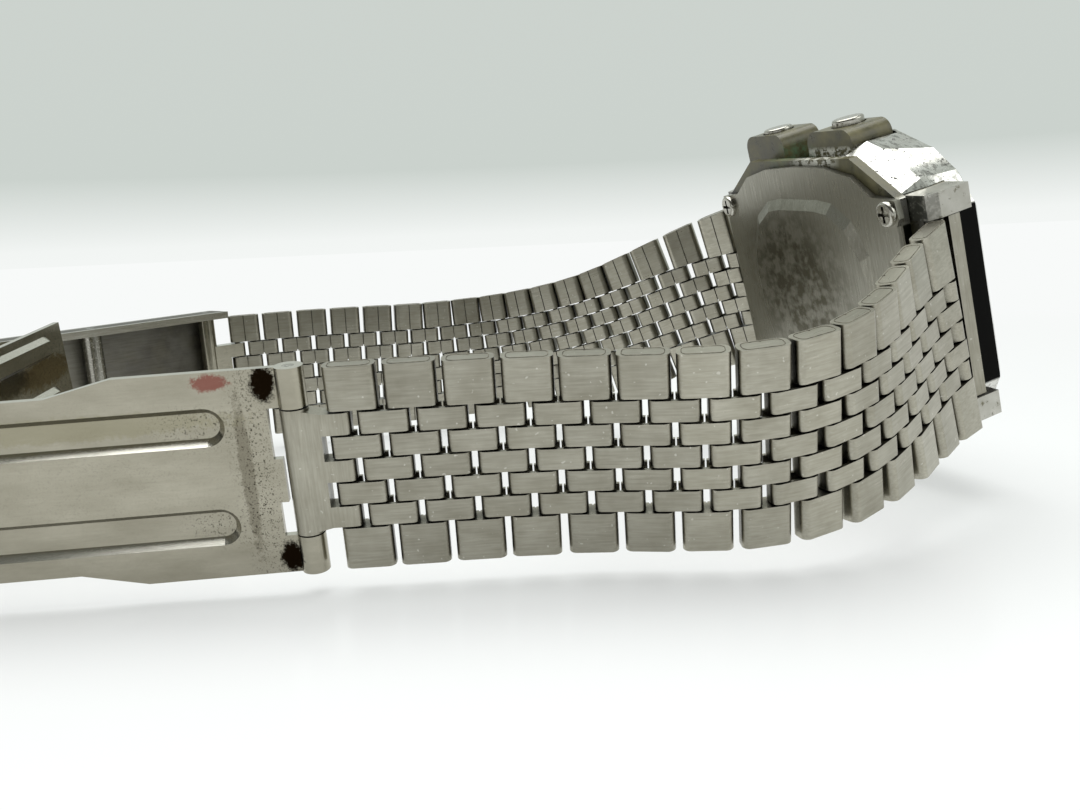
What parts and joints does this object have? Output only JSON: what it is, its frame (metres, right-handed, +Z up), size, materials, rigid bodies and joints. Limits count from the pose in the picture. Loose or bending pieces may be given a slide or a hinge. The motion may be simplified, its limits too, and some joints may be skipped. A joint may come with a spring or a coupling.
{
  "type": "digital watch",
  "caption": "Digital wristwatch with a chrome-cornered case, side push buttons and a flared steel link bracelet, standing on edge with its folding clasp open.",
  "frame": {"origin": "middle of the footprint on the table, on which the watch stands on one edge of its band", "axes": "+Z up across the band, +X from the clasp to the case, +Y from the near half of the bracelet to the far half"},
  "size_m": [0.1036, 0.0698, 0.0365],
  "materials": {
    "olive_case": "dark olive moulded case, plated coat worn off in places",
    "chrome": "bright plated shell, scratched and pitted at the corners",
    "crystal": "clear polished",
    "rubber": "soft black",
    "display_print": "printed dark frame round the display",
    "display_glass": "grey-green liquid crystal",
    "black_plastic": "moulded",
    "board": "green lacquered board",
    "cell_steel": "plated cell can",
    "spring_steel": "bright wire",
    "bracelet_steel": "brushed along the band, worn, dirt in the gaps",
    "button_steel": "turned, worn",
    "back_steel": "brushed pressed plate with blotches",
    "screw_steel": "plated",
    "pin_steel": "drawn",
    "clasp_steel": "pressed sheet, brushed and stained"
  },
  "bodies": {
    "case": {"case_body": "olive_case", "chrome_shell": "chrome", "crystal": "crystal", "crystal_gasket": "rubber", "display_mask": "display_print", "lcd_panel": "display_glass", "contact_strips": "rubber", "module_frame": "black_plastic", "circuit_board": "board", "battery": "cell_steel", "back_gasket": "rubber", "back_plate": "back_steel", "back_screws": "screw_steel", "lug_spring_bars": "pin_steel", "lug_end_links": "bracelet_steel", "mode_button_spring": "spring_steel", "light_button_spring": "spring_steel", "button_seals": "rubber"},
    "mode_button": {"mode_button": "button_steel", "mode_button_clip": "button_steel"},
    "light_button": {"light_button": "button_steel", "light_button_clip": "button_steel"},
    "near_link_01": {"near_link_01": "bracelet_steel"},
    "near_link_02": {"near_link_02": "bracelet_steel"},
    "near_link_03": {"near_link_03": "bracelet_steel"},
    "near_link_04": {"near_link_04": "bracelet_steel"},
    "near_link_05": {"near_link_05": "bracelet_steel"},
    "near_link_06": {"near_link_06": "bracelet_steel"},
    "near_link_07": {"near_link_07": "bracelet_steel"},
    "near_link_08": {"near_link_08": "bracelet_steel"},
    "near_link_09": {"near_link_09": "bracelet_steel"},
    "near_link_10": {"near_link_10": "bracelet_steel"},
    "near_link_11": {"near_link_11": "bracelet_steel"},
    "near_link_12": {"near_link_12": "bracelet_steel"},
    "near_link_13": {"near_link_13": "bracelet_steel"},
    "near_link_14": {"near_link_14": "bracelet_steel"},
    "far_link_01": {"far_link_01": "bracelet_steel"},
    "far_link_02": {"far_link_02": "bracelet_steel"},
    "far_link_03": {"far_link_03": "bracelet_steel"},
    "far_link_04": {"far_link_04": "bracelet_steel"},
    "far_link_05": {"far_link_05": "bracelet_steel"},
    "far_link_06": {"far_link_06": "bracelet_steel"},
    "far_link_07": {"far_link_07": "bracelet_steel"},
    "far_link_08": {"far_link_08": "bracelet_steel"},
    "far_link_09": {"far_link_09": "bracelet_steel"},
    "far_link_10": {"far_link_10": "bracelet_steel"},
    "far_link_11": {"far_link_11": "bracelet_steel"},
    "far_link_12": {"far_link_12": "bracelet_steel"},
    "far_link_13": {"far_link_13": "bracelet_steel"},
    "far_link_14": {"far_link_14": "bracelet_steel"},
    "far_link_15": {"far_link_15": "bracelet_steel"},
    "far_link_16": {"far_link_16": "bracelet_steel"},
    "far_link_17": {"far_link_17": "bracelet_steel"},
    "near_end_piece": {"near_end_piece": "clasp_steel"},
    "grooved_blade": {"grooved_blade": "clasp_steel", "blade_hinge_pins": "pin_steel"},
    "middle_blade": {"middle_blade": "clasp_steel"},
    "far_end_piece": {"far_end_piece": "clasp_steel"},
    "clasp_cover": {"clasp_cover": "clasp_steel", "cover_bars": "pin_steel"}
  },
  "joints": [
    {"name": "mode_button_slide", "type": "slide", "parent": "case", "child": "mode_button", "axis": [0.2332, 0.1366, -0.9628], "range_m": [0, 0.0007], "stiffness_N_per_m": 1200, "springref_m": -0.0004, "deforming": ["mode_button_spring"]},
    {"name": "light_button_slide", "type": "slide", "parent": "case", "child": "light_button", "axis": [0.2332, 0.1366, -0.9628], "range_m": [0, 0.0007], "stiffness_N_per_m": 1200, "springref_m": -0.0004, "deforming": ["light_button_spring"]},
    {"name": "near_end_piece_hinge", "type": "hinge", "parent": "near_link_14", "child": "near_end_piece", "pos_m": [-0.00599, -0.03025, 0.00982], "axis": [-0.0193, -0.1515, 0.9883], "range_deg": [-20, 20]},
    {"name": "grooved_blade_hinge", "type": "hinge", "parent": "near_end_piece", "child": "grooved_blade", "pos_m": [-0.00919, -0.03022, 0.00976], "axis": [0.0193, 0.1515, -0.9883], "range_deg": [-15, 15]},
    {"name": "middle_blade_hinge", "type": "hinge", "parent": "grooved_blade", "child": "middle_blade", "pos_m": [-0.04616, -0.03151, 0.00884], "axis": [0.0193, 0.1515, -0.9883], "range_deg": [-0.5, 56]},
    {"name": "far_end_piece_hinge", "type": "hinge", "parent": "far_link_17", "child": "far_end_piece", "pos_m": [-0.02874, 0.0265, 0.00975], "axis": [0.0139, 0.0311, -0.9994], "range_deg": [-0.5, 20]},
    {"name": "clasp_cover_hinge", "type": "hinge", "parent": "far_end_piece", "child": "clasp_cover", "pos_m": [-0.03163, 0.02403, 0.00963], "axis": [-0.0139, -0.0311, 0.9994], "range_deg": [-20, 0.5]},
    {"name": "near_link_01_hinge", "type": "hinge", "parent": "case", "child": "near_link_01", "pos_m": [0.04488, -0.01565, 0.01678], "axis": [-0.2332, -0.1366, 0.9628], "range_deg": [-0.3, 15]},
    {"name": "near_link_02_hinge", "type": "hinge", "parent": "near_link_01", "child": "near_link_02", "pos_m": [0.04274, -0.01887, 0.01569], "axis": [0.2653, 0.1521, -0.9521], "range_deg": [-15, 0.5]},
    {"name": "near_link_03_hinge", "type": "hinge", "parent": "near_link_02", "child": "near_link_03", "pos_m": [0.03995, -0.02175, 0.01445], "axis": [-0.2597, -0.1588, 0.9525], "range_deg": [-0.5, 15]},
    {"name": "near_link_04_hinge", "type": "hinge", "parent": "near_link_03", "child": "near_link_04", "pos_m": [0.03732, -0.02481, 0.01328], "axis": [0.2295, 0.1639, -0.9594], "range_deg": [-15, 0.5]},
    {"name": "near_link_05_hinge", "type": "hinge", "parent": "near_link_04", "child": "near_link_05", "pos_m": [0.03446, -0.02769, 0.0122], "axis": [-0.174, -0.1803, 0.9681], "range_deg": [-0.5, 15]},
    {"name": "near_link_06_hinge", "type": "hinge", "parent": "near_link_05", "child": "near_link_06", "pos_m": [0.03119, -0.03013, 0.01126], "axis": [0.1258, 0.1958, -0.9725], "range_deg": [-15, 1]},
    {"name": "near_link_07_hinge", "type": "hinge", "parent": "near_link_06", "child": "near_link_07", "pos_m": [0.0274, -0.03178, 0.01054], "axis": [-0.0854, -0.212, 0.9735], "range_deg": [-1, 15]},
    {"name": "near_link_08_hinge", "type": "hinge", "parent": "near_link_07", "child": "near_link_08", "pos_m": [0.02326, -0.03229, 0.01014], "axis": [0.0612, 0.2319, -0.9708], "range_deg": [-15, 2]},
    {"name": "near_link_09_hinge", "type": "hinge", "parent": "near_link_08", "child": "near_link_09", "pos_m": [0.01909, -0.03187, 0.01001], "axis": [-0.0524, -0.2403, 0.9693], "range_deg": [-3, 15]},
    {"name": "near_link_10_hinge", "type": "hinge", "parent": "near_link_09", "child": "near_link_10", "pos_m": [0.01496, -0.03111, 0.01], "axis": [0.0424, 0.2334, -0.9715], "range_deg": [-15, 5]},
    {"name": "near_link_11_hinge", "type": "hinge", "parent": "near_link_10", "child": "near_link_11", "pos_m": [0.0108, -0.03053, 0.00999], "axis": [-0.0309, -0.2181, 0.9754], "range_deg": [-12, 15]},
    {"name": "near_link_12_hinge", "type": "hinge", "parent": "near_link_11", "child": "near_link_12", "pos_m": [0.00661, -0.03027, 0.00997], "axis": [0.011, 0.1944, -0.9809], "range_deg": [-15, 20]},
    {"name": "near_link_13_hinge", "type": "hinge", "parent": "near_link_12", "child": "near_link_13", "pos_m": [0.00241, -0.03023, 0.00994], "axis": [-0.0105, -0.1773, 0.9841], "range_deg": [-20, 15]},
    {"name": "near_link_14_hinge", "type": "hinge", "parent": "near_link_13", "child": "near_link_14", "pos_m": [-0.00179, -0.03027, 0.00989], "axis": [0.0105, 0.1601, -0.987], "range_deg": [-15, 20]},
    {"name": "far_link_01_hinge", "type": "hinge", "parent": "case", "child": "far_link_01", "pos_m": [0.03546, 0.01538, 0.01891], "axis": [-0.2332, -0.1366, 0.9628], "range_deg": [-15, 0.2]},
    {"name": "far_link_02_hinge", "type": "hinge", "parent": "far_link_01", "child": "far_link_02", "pos_m": [0.03236, 0.01803, 0.01834], "axis": [0.2892, 0.1178, -0.95], "range_deg": [-0.2, 15]},
    {"name": "far_link_03_hinge", "type": "hinge", "parent": "far_link_02", "child": "far_link_03", "pos_m": [0.02859, 0.01947, 0.01722], "axis": [-0.3173, -0.0559, 0.9467], "range_deg": [-15, 0.2]},
    {"name": "far_link_04_hinge", "type": "hinge", "parent": "far_link_03", "child": "far_link_04", "pos_m": [0.02492, 0.02107, 0.01593], "axis": [0.3435, 0.0006, -0.9392], "range_deg": [-0.2, 15]},
    {"name": "far_link_05_hinge", "type": "hinge", "parent": "far_link_04", "child": "far_link_05", "pos_m": [0.02153, 0.02317, 0.01464], "axis": [-0.3287, 0.0502, 0.9431], "range_deg": [-15, 0.2]},
    {"name": "far_link_06_hinge", "type": "hinge", "parent": "far_link_05", "child": "far_link_06", "pos_m": [0.01824, 0.0255, 0.01346], "axis": [0.2896, -0.0654, -0.9549], "range_deg": [-0.2, 15]},
    {"name": "far_link_07_hinge", "type": "hinge", "parent": "far_link_06", "child": "far_link_07", "pos_m": [0.01486, 0.02778, 0.01245], "axis": [-0.2481, 0.0363, 0.9681], "range_deg": [-15, 0.2]},
    {"name": "far_link_08_hinge", "type": "hinge", "parent": "far_link_07", "child": "far_link_08", "pos_m": [0.01134, 0.02992, 0.01161], "axis": [0.2121, -0.0133, -0.9771], "range_deg": [-0.2, 15]},
    {"name": "far_link_09_hinge", "type": "hinge", "parent": "far_link_08", "child": "far_link_09", "pos_m": [0.00769, 0.03187, 0.01093], "axis": [-0.1664, 0.0072, 0.986], "range_deg": [-15, 0.2]},
    {"name": "far_link_10_hinge", "type": "hinge", "parent": "far_link_09", "child": "far_link_10", "pos_m": [0.00381, 0.03338, 0.01041], "axis": [0.12, -0.0046, -0.9928], "range_deg": [-0.2, 15]},
    {"name": "far_link_11_hinge", "type": "hinge", "parent": "far_link_10", "child": "far_link_11", "pos_m": [-0.00034, 0.03389, 0.01006], "axis": [-0.072, -0.0174, 0.9973], "range_deg": [-15, 0.2]},
    {"name": "far_link_12_hinge", "type": "hinge", "parent": "far_link_11", "child": "far_link_12", "pos_m": [-0.00448, 0.03328, 0.00987], "axis": [0.0282, 0.0429, -0.9987], "range_deg": [-0.2, 15]},
    {"name": "far_link_13_hinge", "type": "hinge", "parent": "far_link_12", "child": "far_link_13", "pos_m": [-0.00852, 0.03213, 0.00985], "axis": [0.0163, -0.0412, 0.999], "range_deg": [-15, 0.2]},
    {"name": "far_link_14_hinge", "type": "hinge", "parent": "far_link_13", "child": "far_link_14", "pos_m": [-0.01254, 0.03092, 0.00989], "axis": [-0.0221, 0.0303, -0.9993], "range_deg": [-0.5, 15]},
    {"name": "far_link_15_hinge", "type": "hinge", "parent": "far_link_14", "child": "far_link_15", "pos_m": [-0.01658, 0.02979, 0.00992], "axis": [0.0137, -0.0328, 0.9994], "range_deg": [-15, 0.5]},
    {"name": "far_link_16_hinge", "type": "hinge", "parent": "far_link_15", "child": "far_link_16", "pos_m": [-0.02064, 0.02872, 0.00991], "axis": [-0.003, 0.0266, -0.9996], "range_deg": [-0.5, 15]},
    {"name": "far_link_17_hinge", "type": "hinge", "parent": "far_link_16", "child": "far_link_17", "pos_m": [-0.0247, 0.02763, 0.00984], "axis": [-0.0139, -0.0311, 0.9994], "range_deg": [-15, 0.5]}
  ]
}
